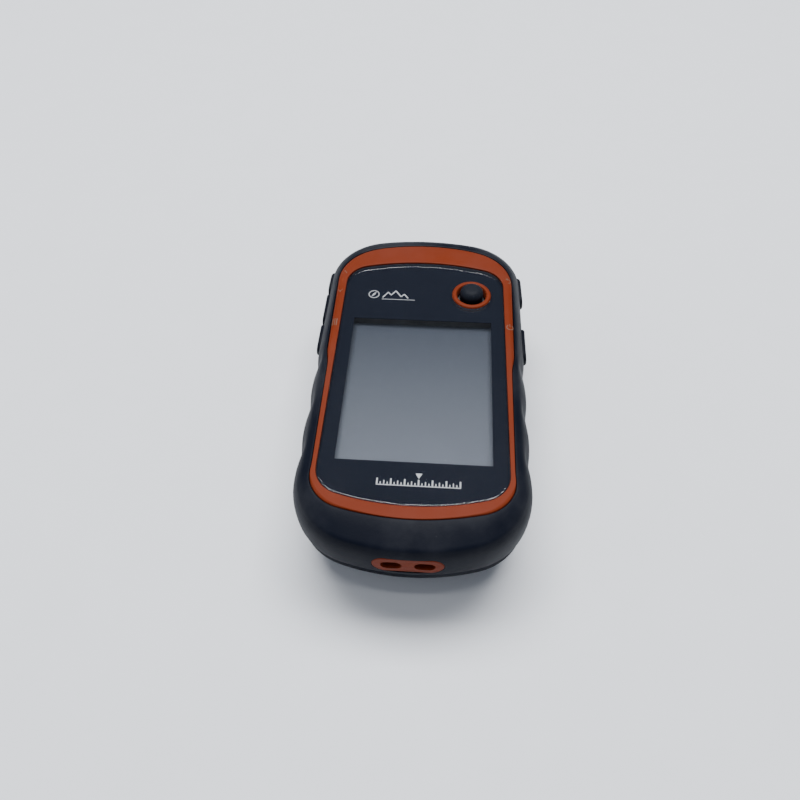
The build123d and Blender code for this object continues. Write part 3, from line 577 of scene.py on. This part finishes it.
looks = {
    "rubber": {
        "color": (0.0024, 0.0036, 0.0084), "tint": (0.0032, 0.0046, 0.0100),
        "worn": (0.010, 0.012, 0.017), "rough": 0.52, "roughSpread": 0.10, "grain": 3200.0,
        "depth": 0.00004, "bump": 0.5, "dust": 0.05, "wear": 0.5, "specular": 0.06,
    },
    "key_rubber": {
        "color": (0.0022, 0.0033, 0.0076), "tint": (0.0029, 0.0042, 0.0090),
        "worn": (0.010, 0.012, 0.017), "rough": 0.46, "specular": 0.09, "grain": 4200.0,
        "depth": 0.00002, "bump": 0.35, "dust": 0.04, "wear": 0.5,
    },
    "band_plastic": {
        "color": (0.122, 0.0180, 0.0052), "tint": (0.132, 0.0200, 0.0060), "worn": (0.20, 0.040, 0.013),
        "rough": 0.50, "roughSpread": 0.06, "grain": 5200.0, "depth": 0.00001, "bump": 0.25,
        "dust": 0.02, "wear": 0.35, "specular": 0.07,
    },
    "case_plastic": {
        "color": (0.0062, 0.0075, 0.0108), "tint": (0.0076, 0.0090, 0.0126),
        "worn": (0.022, 0.024, 0.030), "rough": 0.50, "grain": 2600.0, "depth": 0.00006, "bump": 0.6,
        "dust": 0.08, "wear": 0.5, "specular": 0.25,
    },
    "mask_ink": {
        "color": (0.0064, 0.0080, 0.0142), "tint": (0.0070, 0.0088, 0.0154), "rough": 0.6,
        "specular": 0.0, "dust": 0.0, "wear": 0.0, "depth": 0.000002, "bump": 0.1,
    },
    "display": {
        "color": (0.098, 0.108, 0.131), "tint": (0.103, 0.114, 0.137), "rough": 0.5, "specular": 0.1,
        # the fade entry paints shade into the panel's colour towards its upper end
        "fade": (-0.029, 0.016, (0.030, 0.036, 0.049)), "dust": 0.0, "wear": 0.0, "depth": 0.000002,
        "bump": 0.1,
    },
    "light_guide": {"color": (0.70, 0.71, 0.72), "rough": 0.35},
    "stamped_steel": {
        "color": (0.55, 0.55, 0.56), "tint": (0.48, 0.48, 0.49), "rough": 0.32, "metallic": 1.0,
        "grain": 900.0, "depth": 0.00001,
    },
    "foam": {"color": (0.018, 0.019, 0.022), "rough": 0.9, "grain": 1500.0, "depth": 0.0001, "bump": 0.9},
    "ribbon_film": {"color": (0.42, 0.17, 0.03), "rough": 0.3, "coat": 0.4},
    "stick_rubber": {
        "color": (0.0040, 0.0056, 0.0105), "tint": (0.0050, 0.0068, 0.0122),
        "worn": (0.012, 0.014, 0.019), "rough": 0.58, "grain": 3600.0, "depth": 0.00003, "bump": 0.5,
        "dust": 0.04, "wear": 0.5, "specular": 0.10,
    },
    "stick_plastic": {"color": (0.05, 0.05, 0.055), "rough": 0.45, "grain": 2600.0},
    "pin_steel": {
        "color": (0.56, 0.56, 0.57), "tint": (0.49, 0.49, 0.50), "rough": 0.24, "metallic": 1.0,
        "grain": 2000.0, "depth": 0.000008, "wear": 0.3, "worn": (0.7, 0.7, 0.7),
    },
    "board": {"color": (0.012, 0.085, 0.035), "tint": (0.014, 0.10, 0.042), "rough": 0.35, "coat": 0.3},
    "chip": {"color": (0.016, 0.016, 0.018), "rough": 0.6, "grain": 4000.0, "depth": 0.00003},
    "ceramic": {"color": (0.55, 0.48, 0.36), "tint": (0.50, 0.44, 0.33), "rough": 0.7, "grain": 1800.0},
    "silver_pad": {"color": (0.68, 0.66, 0.62), "rough": 0.35, "metallic": 1.0},
    "cell_can": {
        "color": (0.045, 0.052, 0.06), "tint": (0.06, 0.067, 0.075), "rough": 0.3, "metallic": 0.2,
        "coat": 0.5, "grain": 700.0,
    },
    "contact_metal": {"color": (0.60, 0.58, 0.54), "rough": 0.26, "metallic": 1.0, "grain": 1400.0},
    "screw_steel": {
        "color": (0.10, 0.10, 0.105), "tint": (0.13, 0.13, 0.135), "worn": (0.4, 0.4, 0.4),
        "rough": 0.38, "metallic": 0.9, "wear": 0.6,
    },
    "seal_rubber": {"color": (0.05, 0.05, 0.055), "rough": 0.6},
    "lock_plastic": {
        "color": (0.0090, 0.0100, 0.0130), "tint": (0.0110, 0.0120, 0.0155),
        "worn": (0.030, 0.032, 0.036), "rough": 0.40, "grain": 2200.0, "depth": 0.00004, "wear": 0.5,
        "dust": 0.08, "specular": 0.3,
    },
    "print_grey": {
        "color": (0.36, 0.37, 0.385), "tint": (0.40, 0.41, 0.425), "rough": 0.4, "dust": 0.0,
        "wear": 0.0,
    },
    "print_dark": {
        "color": (0.105, 0.042, 0.022), "tint": (0.12, 0.048, 0.025), "rough": 0.5, "dust": 0.0,
        "wear": 0.0,
    },
    "dark_gap": {"color": (0.004, 0.004, 0.005), "rough": 0.8, "dust": 0.0, "wear": 0.0},
}
materials = {name: makeMaterial(name, look) for name, look in looks.items()}


def makeGlass(name, color, rough):
    # clear glass that lets light through to the panel under it
    mat = bpy.data.materials.new(name)
    mat.use_nodes = True
    tree = mat.node_tree
    shader = tree.nodes["Principled BSDF"]
    where = tree.nodes.new("ShaderNodeTexCoord").outputs["Object"]
    dust = addGroup(tree, dustGroup, where, Amount=0.12)
    spread = mathNode(tree, "MULTIPLY", dust.outputs["Film"], 0.10)
    spread = mathNode(tree, "ADD", spread, mathNode(tree, "MULTIPLY", dust.outputs["Specks"], 0.12))
    tree.links.new(mathNode(tree, "ADD", spread, rough, True), shader.inputs["Roughness"])
    shader.inputs["Base Color"].default_value = (*color, 1.0)
    shader.inputs["Transmission Weight"].default_value = 1.0
    shader.inputs["IOR"].default_value = 1.49
    clear = tree.nodes.new("ShaderNodeBsdfTransparent")
    clear.inputs["Color"].default_value = (0.93, 0.94, 0.95, 1.0)
    path = tree.nodes.new("ShaderNodeLightPath")
    mix = tree.nodes.new("ShaderNodeMixShader")
    through = mathNode(tree, "MAXIMUM", path.outputs["Is Shadow Ray"], path.outputs["Is Diffuse Ray"])
    tree.links.new(through, mix.inputs["Fac"])
    tree.links.new(shader.outputs["BSDF"], mix.inputs[1])
    tree.links.new(clear.outputs["BSDF"], mix.inputs[2])
    tree.links.new(mix.outputs["Shader"], tree.nodes["Material Output"].inputs["Surface"])
    return mat


materials["lens"] = makeGlass("lens", (0.96, 0.97, 0.98), 0.015)

slotOf = {entry["node"]: entry["material_slot"] for entry in frame["record"]["subparts"]}
for node, obj in frame["nodes"].items():
    obj.data.materials.clear()
    obj.data.materials.append(materials[slotOf[node]])
print("materials made,", len(materials))

# ---- rubber grip: outer skin up to the band, over the rim and down inside
grip = {"wall": 1.65, "edgeRound": 0.28, "bandGap": 0.07, "rows": 26, "slopeRows": 8}
gripEdge = crossingShares(bandOutline(grip["bandGap"]))


def makeGrip():
    startShare = (body["splitZ"] + 0.06 - body["backZ"]) / (body["frontZ"] - body["backZ"])
    rings = []
    rings.append(skinRing(startShare, inset=-grip["wall"]))
    rings.append(skinRing(startShare, inset=-grip["edgeRound"]))
    rings.append(skinRing(startShare + 0.002, inset=-0.08))
    rings.append(skinRing(startShare + 0.010))
    for k in range(1, grip["rows"]):
        t = k / grip["rows"]
        rings.append(skinRing(startShare + (creaseShare - startShare) * t))
    rings.append(skinRing(creaseShare - 0.006))
    rings.append(skinRing(creaseShare + 0.006))
    for k in range(1, grip["slopeRows"]):
        t = k / grip["slopeRows"]
        rings.append(skinRing((creaseShare + 0.006) * (1 - t) + (gripEdge - 0.012) * t))
    rings.append(skinRing(gripEdge - 0.006))
    rings.append(skinRing(gripEdge, drop=0.06))
    rings.append(skinRing(gripEdge, drop=0.30))
    rings.append(skinRing(gripEdge, drop=1.5))
    bm = loftRings(rings, closed=True)
    return makeObject("rubberGrip", bm, materials["rubber"], "case")


def sideReach(y, z):
    # how far the skin reaches from the middle at a place on the side wall
    share = (z - body["backZ"]) / (body["frontZ"] - body["backZ"])
    right, _ = sectionPoints(share, lobed=False)
    right = right[: columnCount // 2 + 1]
    order = np.argsort(right[:, 1])
    return float(np.interp(y, right[order, 1], right[order, 0]))


def chinReach(x, z):
    # y of the skin on the lower end
    share = (z - body["backZ"]) / (body["frontZ"] - body["backZ"])
    lower, _ = sectionPoints(share, lobed=False)
    lower = lower[columnCount // 2 - 30 : columnCount // 2 + 31]
    order = np.argsort(lower[:, 0])
    return float(np.interp(x, lower[order, 0], lower[order, 1]))


def stadiumRing(length, height, count=48):
    # points of a stadium lying along the first axis
    radius = height / 2
    straight = length / 2 - radius
    points = []
    for k in range(count):
        turn = 2 * pi * (k + 0.5) / count
        points.append((straight * (1 if cos(turn) > 0 else -1) + radius * cos(turn), radius * sin(turn)))
    return points


def cutterObject(rings):
    return makeObject("cutter", loftRings(rings, capEnds=True), materials["dark_gap"], None)


# each key's CAD node and the body it rides on
keyNodes = [("zoom_in_key", "zoom_in"), ("zoom_out_key", "zoom_out"), ("menu_key", "menu"),
            ("back_key", "back"), ("power_key", "power")]
keys = {"height": 4.6, "proud": 0.75, "round": 0.55, "rows": 5, "depth": 2.6, "dish": 0.16, "gap": 0.22,
        "pocket": (-6.1, 2.5), "bendZ": 27.5}


def keyPlace(node):
    low, high = boxMm(node)
    side = 1 if high[0] > 0 else -1
    return side, (low[1] + high[1]) / 2, high[1] - low[1], (low[2] + high[2]) / 2


def keyCutter(node):
    side, y, length, z = keyPlace(node)
    rings = []
    for depth in keys["pocket"]:
        ring = stadiumRing(length + 2 * keys["gap"], keys["height"] + 2 * keys["gap"])
        rings.append([(side * (body["halfWidth"] + depth), y + u, z + v) for u, v in ring])
    return cutterObject(rings)


insert = {"length": 15.6, "height": 6.0, "z": 22.9, "gap": 0.06, "slotLength": 4.6, "slotHeight": 2.9,
          "slotPitch": 7.2, "depth": 4.6, "edge": 0.30, "bar": 2.6}


def insertCutter(grow, start, end):
    rings = []
    for y in (start, end):
        ring = stadiumRing(insert["length"] + 2 * grow, insert["height"] + 2 * grow)
        rings.append([(u, y, insert["z"] + v) for u, v in ring])
    return cutterObject(rings)


rubberGrip = makeGrip()
subdivide(rubberGrip)
gripCutters = [keyCutter(node) for node, _ in keyNodes]
gripCutters.append(insertCutter(insert["gap"], -56.0, -40.0))
applyCuts(rubberGrip, gripCutters)
markSharp(rubberGrip, 38)
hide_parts("rubber_grip")
print("grip made")

# ---- orange band
band = {"edgeRound": 0.22, "rows": 9, "seat": 1.2}


def makeBand():
    rings = []
    edge = crossingShares(bandOutline(-0.03))
    rings.append(skinRing(edge, drop=1.4))
    rings.append(skinRing(edge, drop=0.35))
    rings.append(skinRing(edge + 0.002, drop=0.08))
    rings.append(skinRing(edge + 0.010))
    for k in range(1, band["rows"]):
        t = k / band["rows"]
        rings.append(skinRing((edge + 0.010) * (1 - t) + (flatEnd - 0.02) * t))
    rings.append(skinRing(flatEnd - 0.02))
    rings.append(skinRing(flatEnd - 0.004, drop=0.04))
    rings.append(skinRing(flatEnd, drop=0.22))
    rings.append(skinRing(flatEnd, drop=band["seat"]))
    bm = loftRings(rings, closed=True)
    return makeObject("orangeBand", bm, materials["band_plastic"], "case")


orangeBand = makeBand()
subdivide(orangeBand)
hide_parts("bezel_band")
print("band made")


# ---- side keys: soft pads with a round edge and a faint dish
def makeKey(node, bodyName):
    side, y, length, z = keyPlace(node)
    rings = []

    def ring(shrink, lift):
        points = []
        for u, v in stadiumRing(length - 2 * shrink, keys["height"] - 2 * shrink):
            reach = sideReach(y + u, min(z + v, keys["bendZ"])) + lift
            points.append((side * reach, y + u, z + v))
        return points

    rings.append(ring(0.0, -keys["depth"]))
    rings.append(ring(0.0, keys["proud"] - keys["round"] - 0.4))
    for k in range(keys["rows"] + 1):
        turn = pi / 2 * k / keys["rows"]
        rings.append(ring(keys["round"] * (1 - cos(turn)), keys["proud"] - keys["round"] * (1 - sin(turn))))
    rings.append(ring(keys["round"] + 0.45, keys["proud"] - keys["dish"] * 0.7))
    rings.append(ring(keys["round"] + 1.0, keys["proud"] - keys["dish"]))
    rings.append(ring(keys["height"] / 2 - 0.15, keys["proud"] - keys["dish"]))
    bm = loftRings(rings, capEnds=True)
    pad = makeObject(node.replace("_key", "Pad").replace("_", ""), bm, materials["key_rubber"], bodyName,
                     sharpDegrees=60)
    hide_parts(node)


for node, bodyName in keyNodes:
    makeKey(node, bodyName)
print("keys made")


# ---- lanyard insert: a stadium flush with the chin, with two slots and a bar between them
def makeInsert():
    def ring(shrink, sink, y=None):
        points = []
        for u, v in stadiumRing(insert["length"] - 2 * shrink, insert["height"] - 2 * shrink):
            points.append((u, chinReach(u, insert["z"] + v) + sink if y is None else y, insert["z"] + v))
        return points

    edge = insert["edge"]
    rings = [ring(0.0, 0, -45.8), ring(0.0, edge)]
    for k in range(1, 5):
        turn = pi / 2 * k / 4
        rings.append(ring(edge * (1 - cos(turn)), edge * (1 - sin(turn)) - 0.04))
    for shrink in (0.7, 1.1, 1.6, 2.1, 2.6, insert["height"] / 2 - 0.1):
        rings.append(ring(shrink, -0.04 + 0.10 * min(1.0, (shrink - edge) / 0.8)))
    piece = makeObject("lanyardInsert", loftRings(rings, capEnds=True), materials["band_plastic"], "case")
    cutters = []
    front, back = -56.0, -body["halfLength"] + insert["depth"]
    for side in (-1, 1):
        slotRings = []
        for y in (front, back):
            points = stadiumRing(insert["slotLength"], insert["slotHeight"])
            slotRings.append([
                (side * insert["slotPitch"] / 2 + u, y, insert["z"] + v) for u, v in points
            ])
        cutters.append(cutterObject(slotRings))
    tunnel = []
    for y in (-body["halfLength"] + insert["bar"], back - 0.05):
        points = stadiumRing(insert["slotPitch"] + insert["slotLength"] - 0.2, insert["slotHeight"] - 0.1)
        tunnel.append([(u, y, insert["z"] + v) for u, v in points])
    cutters.append(cutterObject(tunnel))
    applyCuts(piece, cutters)
    markSharp(piece, 40)
    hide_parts("lanyard_insert")


makeInsert()
print("insert made")

# ---- screen glass with a round edge and a hole for the thumb stick's ring
lens = {"round": 0.34, "steps": 6, "holeGap": 0.08, "lift": 0.08}


def makeLens():
    topZ, lowZ = lensHigh[2], lensLow[2] + lens["lift"]
    rings = []
    flat = lensOutline(-lens["round"] - 0.02)
    rings.append([(x, y, lowZ) for x, y in lensOutline(-0.05)])
    rings.append([(x, y, lowZ + 0.05) for x, y in lensOutline(0.0)])
    rings.append([(x, y, topZ - lens["round"] - 0.05) for x, y in lensOutline(0.0)])
    for k in range(lens["steps"] + 1):
        turn = pi / 2 * k / lens["steps"]
        offset = -lens["round"] * (1 - cos(turn))
        z = topZ - lens["round"] * (1 - sin(turn))
        rings.append([(x, y, z) for x, y in lensOutline(offset)])
    rings.append([(x, y, topZ) for x, y in flat])
    bm = bmesh.new()
    first = bmesh.ops.create_circle(bm, segments=len(rings[0]), radius=1.0)["verts"]
    placeVerts(first, rings[0])
    loop = first
    for ring in rings[1:]:
        loop = extrudeLoop(bm, loop, ring)
    holeRadius = (ringHigh[0] - ringLow[0]) / 2 + lens["holeGap"]
    upper = bmesh.ops.create_circle(bm, segments=72, radius=holeRadius)["verts"]
    bmesh.ops.translate(bm, vec=(stickX, stickY, topZ), verts=upper)
    edges = loopEdges(loop) + loopEdges(upper)
    bmesh.ops.triangle_fill(bm, edges=edges, use_beauty=True)
    lower = extrudeLoop(bm, upper, [(v.co.x, v.co.y, lowZ) for v in upper])
    bmesh.ops.triangle_fill(bm, edges=loopEdges(first) + loopEdges(lower), use_beauty=True)
    bmesh.ops.recalc_face_normals(bm, faces=bm.faces)
    return makeObject("screenGlass", bm, materials["lens"], "case", sharpDegrees=30)


screenGlass = makeLens()
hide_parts("display_lens")
print("glass made")

# ---- thumb stick: trim ring and cap
stick = {"outer": 5.15, "inner": 3.9, "throat": 3.7, "cap": 3.12, "skirt": 3.16, "ribs": 16, "ribLift": 0.010}


def makeStick():
    top, low = ringHigh[2], ringLow[2]
    inner, outer = stick["inner"], stick["outer"]
    profile = [
        (stick["throat"], low + 0.02), (inner - 0.06, top - 0.55), (inner + 0.05, top - 0.18),
        (inner + 0.22, top - 0.02), (inner + 0.48, top), (outer - 0.36, top - 0.05),
        (outer - 0.10, top - 0.24), (outer, top - 0.55), (outer, low + 0.02),
    ]
    profile.append(profile[0])
    bm = spinProfile(profile, (stickX, stickY), 96)
    ring = makeObject("stickTrim", bm, materials["band_plastic"], "case", sharpDegrees=40)
    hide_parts("stick_ring")
    top, low = capHigh[2], capLow[2]
    radius = stick["cap"]
    profile = [
        (0.0, low), (stick["skirt"], low), (stick["skirt"], low + 0.35), (stick["skirt"] - 0.4, low + 0.7),
        (radius - 0.14, low + 1.3), (radius, low + 2.0), (radius - 0.04, top - 1.55),
        (radius - 0.22, top - 1.05), (radius - 0.60, top - 0.58), (radius - 1.15, top - 0.22),
        (radius - 1.80, top - 0.04), (0.0, top),
    ]

    def knurl(bm):
        # small ribs round the shoulder for the thumb's grip
        for vert in bm.verts:
            reach = (vert.co.x**2 + vert.co.y**2) ** 0.5
            if reach > 1.0 and vert.co.z > top - 1.3:
                turn = atan2(vert.co.y, vert.co.x)
                lift = 1 + stick["ribLift"] * cos(turn * stick["ribs"])
                vert.co.x *= lift
                vert.co.y *= lift

    bm = spinProfile(profile, (stickX, stickY), 128, knurl)
    cap = makeObject("stickCap", bm, materials["stick_rubber"], "stick")
    subdivide(cap)
    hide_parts("stick_cap")


makeStick()
print("stick made")

# ---- printed marks: ribbons laid on a surface
markThickness = 0.03
markLift = {"band": 0.012, "glass": 0.015}


def frontHeight(x, y):
    # height of the skin over a point of the front
    point = np.array([[x, y]])
    low, high = 0, len(skinShares) - 1
    while high - low > 1:
        middle = (low + high) // 2
        if insideOutline(point, skinPlans[middle])[0]:
            low = middle
        else:
            high = middle
    return float(skinHeights[low])


def resample(points, spacing=0.28):
    out = [Vector(points[0])]
    for a, b in zip(points, points[1:]):
        a, b = Vector(a), Vector(b)
        count = max(1, int((b - a).length / spacing + 0.5))
        out += [a.lerp(b, k / count) for k in range(1, count + 1)]
    return out


def ribbon(bm, points, width, height, endWidth=None):
    # a strip along points; height(x, y) gives the surface under it
    path = resample(points)
    count = len(path)
    before = set(bm.verts)
    bmesh.ops.create_grid(bm, x_segments=count - 1, y_segments=1, size=1.0)
    made = [v for v in bm.verts if v not in before]
    made.sort(key=lambda v: (round(v.co.x, 4), v.co.y))
    for k, spot in enumerate(path):
        ahead = path[min(k + 1, count - 1)] - path[max(k - 1, 0)]
        aside = Vector((-ahead.y, ahead.x)).normalized()
        half = width / 2
        if endWidth is not None:
            half = (width + (endWidth - width) * k / (count - 1)) / 2
        for vert, sign in ((made[2 * k], -1), (made[2 * k + 1], 1)):
            x, y = spot.x + aside.x * half * sign, spot.y + aside.y * half * sign
            vert.co = (x, y, height(x, y))


def finishMarks(name, bm, material, bodyName="case"):
    bmesh.ops.recalc_face_normals(bm, faces=bm.faces)
    for face in bm.faces:
        if face.normal.z < 0:
            face.normal_flip()
    obj = makeObject(name, bm, materials[material], bodyName, smooth=False)
    solid = obj.modifiers.new("thickness", "SOLIDIFY")
    solid.thickness = markThickness * mm
    solid.offset = 1.0
    return obj


def arcPoints(centre, radius, start, end, steps=18):
    turns = [radians(start + (end - start) * k / steps) for k in range(steps + 1)]
    return [(centre[0] + radius * cos(turn), centre[1] + radius * sin(turn)) for turn in turns]


def makeBandMarks():
    bm = bmesh.new()

    def surface(x, y):
        return frontHeight(x, y) + markLift["band"]

    # up and down arrows for zoom
    for x, y, way in ((-22.0, 31.7, 1), (-22.45, 24.2, -1)):
        ribbon(bm, [(x, y - way * 0.55), (x, y + way * 0.65)], 1.35, surface, 0.03)
    # three bars for the menu
    for k in (-1, 0, 1):
        ribbon(bm, [(-22.55 + k * 0.52, 11.2), (-22.55 + k * 0.52, 13.6)], 0.26, surface)
    # a return arrow for back
    ribbon(bm, arcPoints((22.35, 30.4), 0.72, -90, 90), 0.26, surface)
    ribbon(bm, [(22.35, 31.12), (21.75, 31.12)], 0.95, surface, 0.04)
    # a ring with a bar for power
    ribbon(bm, arcPoints((22.45, 13.0), 0.82, 120, 420, 30), 0.25, surface)
    ribbon(bm, [(22.45, 13.1), (22.45, 14.1)], 0.25, surface)
    finishMarks("bandMarks", bm, "print_dark")


compass = {"centre": (-13.4, 24.3), "radius": 1.35, "line": 0.24, "needle": (0.62, 0.92), "needleWidth": 0.62}
tape = {"middleX": 1.4, "pitch": 0.76, "ticks": 12, "y": -35.3, "tall": (1.5, 1.0, 0.6), "line": 0.24,
        "boldLine": 0.34}


def makeLensMarks():
    level = maskTop + markLift["glass"]
    bm = bmesh.new()

    def flat(x, y):
        return level

    # a small compass and a ridge line at the upper left
    centre = compass["centre"]
    ribbon(bm, arcPoints(centre, compass["radius"], 0, 360, 40), compass["line"], flat)
    for way in (1, -1):
        tip = (centre[0] + way * compass["needle"][0], centre[1] + way * compass["needle"][1])
        ribbon(bm, [centre, tip], compass["needleWidth"], flat, 0.04)
    ridge = [(-11.0, 23.2), (-9.6, 25.3), (-8.8, 24.2), (-7.6, 25.9), (-6.1, 23.7), (-5.3, 24.7),
             (-4.2, 23.2)]
    ribbon(bm, ridge, 0.34, flat)
    ribbon(bm, [(-11.2, 22.6), (-2.4, 22.6)], 0.16, flat)
    # a compass tape under the display
    for k in range(-tape["ticks"], tape["ticks"] + 1):
        x = tape["middleX"] + k * tape["pitch"]
        tall = tape["tall"][0 if k % 4 == 0 else (1 if k % 2 == 0 else 2)]
        width = tape["boldLine"] if k % 4 == 0 else tape["line"]
        ribbon(bm, [(x, tape["y"]), (x, tape["y"] + tall)], width, flat)
    ribbon(bm, [(-7.9, -35.45), (10.7, -35.45)], 0.20, flat)
    ribbon(bm, [(tape["middleX"], -32.2), (tape["middleX"], -33.5)], 1.5, flat, 0.04)
    finishMarks("lensMarks", bm, "print_grey")


makeBandMarks()
makeLensMarks()
print("marks made")

# ---- floor, light and camera
room = {
    "floor": (0.735, 0.765, 0.82),
    "near": (0.34, 0.355, 0.39),
    "far": (0.10, 0.112, 0.135),
    # name: place, size, power, colour
    "ceiling": ((0.0, 0.28, 1.2), (1.2, 0.52), 33.5, (1.0, 0.99, 0.975)),
    "sideFill": ((-1.3, -0.2, 0.6), (0.7, 0.7), 2.0, (0.93, 0.96, 1.0)),
    "leftSpot": ((-0.085, -0.30, 1.2), (0.05, 0.05), 0.9, (1, 1, 0.97)),
    "rightSpot": ((0.12, -0.30, 1.2), (0.05, 0.05), 0.9, (1, 1, 0.97)),
}


def makeWorld():
    # soft room light: bright overhead, dim towards the far side
    world = bpy.data.worlds.new("room")
    bpy.context.scene.world = world
    world.use_nodes = True
    tree = world.node_tree
    sky = tree.nodes["Background"]
    where = tree.nodes.new("ShaderNodeTexCoord")
    parts = tree.nodes.new("ShaderNodeSeparateXYZ")
    tree.links.new(where.outputs["Generated"], parts.inputs[0])
    far = rampNode(tree, parts.outputs["Y"], -0.1, 0.45)
    high = rampNode(tree, parts.outputs["Z"], 0.86, 0.98)
    dim = mathNode(tree, "MULTIPLY", far, mathNode(tree, "SUBTRACT", 1.0, high))
    color = mixColor(tree, dim, room["near"], room["far"])
    tree.links.new(color, sky.inputs["Color"])
    sky.inputs["Strength"].default_value = 1.0


def makeRoom():
    bm = bmesh.new()
    bmesh.ops.create_grid(bm, x_segments=1, y_segments=1, size=1500)
    paint = makeMaterial("floorPaint", {
        "color": room["floor"], "tint": tuple(c * 0.985 for c in room["floor"]), "rough": 0.8,
        "grain": 900.0, "depth": 0.00003, "bump": 0.15, "dust": 0.0, "wear": 0.0, "specular": 0.1})
    floor = makeObject("floor", bm, paint, None)
    makeWorld()

    def areaLight(name):
        place, size, power, color = room[name]
        data = bpy.data.lights.new(name, "AREA")
        data.shape = "RECTANGLE"
        data.size, data.size_y = size
        data.energy = power
        data.color = color
        lamp = bpy.data.objects.new(name, data)
        lamp.location = place
        lamp.rotation_euler = (-Vector(place)).to_track_quat("-Z", "Y").to_euler()
        bpy.context.scene.collection.objects.link(lamp)

    for name in ("ceiling", "sideFill", "leftSpot", "rightSpot"):
        areaLight(name)


makeRoom()


view = {"lens": 33.695, "sensor": 36.0, "place": (0.003834, -0.123205, 0.168132),
        "turn": (0.6796, 0.0057, 0.0642)}


def makeCamera():
    data = bpy.data.cameras.new("camera")
    data.lens = view["lens"]
    data.sensor_width = view["sensor"]
    camera = bpy.data.objects.new("camera", data)
    camera.location = view["place"]
    camera.rotation_euler = view["turn"]
    bpy.context.scene.collection.objects.link(camera)
    bpy.context.scene.camera = camera


makeCamera()
print("room and camera made")
